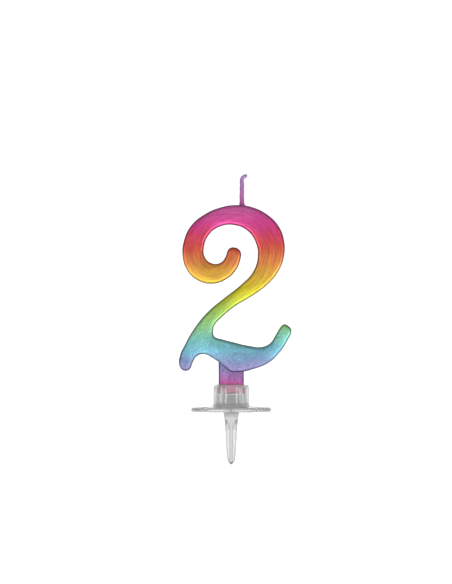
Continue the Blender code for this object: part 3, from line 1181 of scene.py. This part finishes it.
def make_spike(surface):
    """The seat cross, the flared head and the fluted spike as one moulding, from the top down."""
    turns = np.linspace(0.0, 2 * math.pi, SPIKE_SLICES, endpoint=False)
    profile = seat_profile(turns) + flute_profile(turns)
    vertices = rings_round_axis(turns, profile)
    faces = capped_stack(len(profile), SPIKE_SLICES)
    spike = mesh_piece("clear_cake_spike", vertices, faces, surface, sharp=45.0)
    face_outwards(spike)
    # Painted shade on the spike
    store_numbers(spike, "painted_light", spike_painted_shade(vertices))
    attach(spike, "holder")
    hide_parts("cake_spike")


# ---- Studio ----

FLOOR_HEIGHT = SPIKE_LOW.z - 0.3
FLOOR_REACH = 4000.0
WALL_PLACE = 2600.0
WALL_HEIGHT = 2400.0
FLOOR_BEND = 600.0

# The camera looks straight at the figure, at a place to its side and above the foot
VIEW_HEIGHT = 200.9
SENSOR_WIDTH = 36.0
CAMERA_DISTANCE = 2000.0
CAMERA_SIDE = -1.8
CAMERA_ABOVE_FOOT = 35.1

# Brightness around the set, its gain in front, its losses overhead and beside, and the camera's backdrop
ALL_ROUND = 0.33
FRONT_GAIN = 0.1
OVERHEAD_LOSS = 0.25
SIDE_LOSS = 0.4
BACKDROP = 0.95


def make_floor(surface):
    """A pale paper sweep: flat under the candle, curving up far behind it."""
    profile = [(-FLOOR_REACH, 0.0), (WALL_PLACE - FLOOR_BEND, 0.0)]
    for turn in np.linspace(0.0, math.pi / 2, 17)[1:]:
        y = WALL_PLACE - FLOOR_BEND + FLOOR_BEND * math.sin(turn)
        profile.append((y, FLOOR_BEND * (1.0 - math.cos(turn))))
    profile.append((WALL_PLACE, WALL_HEIGHT))
    vertices = [(x, y, FLOOR_HEIGHT + height) for y, height in profile for x in (-FLOOR_REACH, FLOOR_REACH)]
    faces = [(2 * i, 2 * i + 1, 2 * i + 3, 2 * i + 2) for i in range(len(profile) - 1)]
    floor = mesh_piece("paper_sweep", vertices, faces, surface, sharp=60.0)


def area_light(name, place, target, size, power, seen_in_gloss=True):
    """A rectangular lamp aimed at a target, with its power in watts."""
    data = bpy.data.lights.new(name, "AREA")
    data.shape = "RECTANGLE"
    data.size, data.size_y = (side * MM for side in size)
    data.energy = power
    lamp = bpy.data.objects.new(name, data)
    bpy.context.scene.collection.objects.link(lamp)
    lamp.location = Vector(place) * MM
    aim = Vector(target) * MM - lamp.location
    lamp.rotation_euler = aim.to_track_quat("-Z", "Y").to_euler()
    lamp.visible_glossy = seen_in_gloss
    lamp.visible_camera = False


def make_lights():
    """A softbox overhead, a strip to each side, and one on the floor that lights the lower edges."""
    middle = (0.0, 0.0, 35.0)
    area_light(
        "overhead_softbox", place=(0.0, -100.0, 1300.0), target=middle, size=(1400.0, 1400.0), power=9.0,
        seen_in_gloss=False,
    )
    for side in (-1, 1):
        place = (side * 420.0, -580.0, 90.0)
        area_light("side_strip", place=place, target=middle, size=(100.0, 420.0), power=0.5)
    place = (0.0, -110.0, FLOOR_HEIGHT + 1.0)
    area_light("floor_strip", place=place, target=(0.0, -90.0, 60.0), size=(320.0, 120.0), power=0.24)


def make_world():
    """White behind the set for the camera; for all else brighter in front, darker beside and overhead."""
    world = bpy.data.worlds.new("studio")
    bpy.context.scene.world = world
    finish = Finish(world)
    direction = finish.node("ShaderNodeTexCoord", output="Generated")
    up = finish.part(direction, "Z")
    toward_front = finish.part(direction, "Y") * -1.0
    toward_side = finish.part(direction, "X").math("ABSOLUTE")
    front = ALL_ROUND + toward_front.rise(-0.1, 0.95) * FRONT_GAIN
    overhead = 1.0 - up.rise(0.3, 0.95) * OVERHEAD_LOSS
    beside = 1.0 - toward_side.rise(0.55, 0.95) * SIDE_LOSS
    level = front * overhead * beside
    seen = finish.node("ShaderNodeLightPath", output="Is Camera Ray")
    background = finish.tree.nodes["Background"]
    finish.feed(background.inputs["Color"], (1.0, 1.0, 1.0, 1.0))
    finish.feed(background.inputs["Strength"], level + seen * (BACKDROP - level))


def make_camera():
    """Level with the figure's middle, and far enough away that the figure keeps its proportions."""
    data = bpy.data.cameras.new("camera")
    data.sensor_width = SENSOR_WIDTH
    data.lens = SENSOR_WIDTH * CAMERA_DISTANCE / VIEW_HEIGHT
    camera = bpy.data.objects.new("camera", data)
    bpy.context.scene.collection.objects.link(camera)
    place = (CAMERA_SIDE, -HALF_DEPTH - CAMERA_DISTANCE, FOOT + CAMERA_ABOVE_FOOT)
    camera.location = Vector(place) * MM
    camera.rotation_euler = (math.radians(90.0), 0.0, 0.0)
    data.clip_start = 0.01
    data.clip_end = 20.0
    bpy.context.scene.camera = camera


make_camera()
make_world()
make_lights()
make_floor(paper_finish())
make_figure(lacquer_finish())
make_wick(wick_finish())
make_cup(clear_finish("clear_cup_plastic", tint=(0.78, 0.785, 0.785), roughness=0.05, milk=0.18))
make_spike(clear_finish("clear_spike_plastic", tint=(0.66, 0.66, 0.66), roughness=0.07, milk=0.15))
bpy.context.scene.view_settings.view_transform = "Standard"
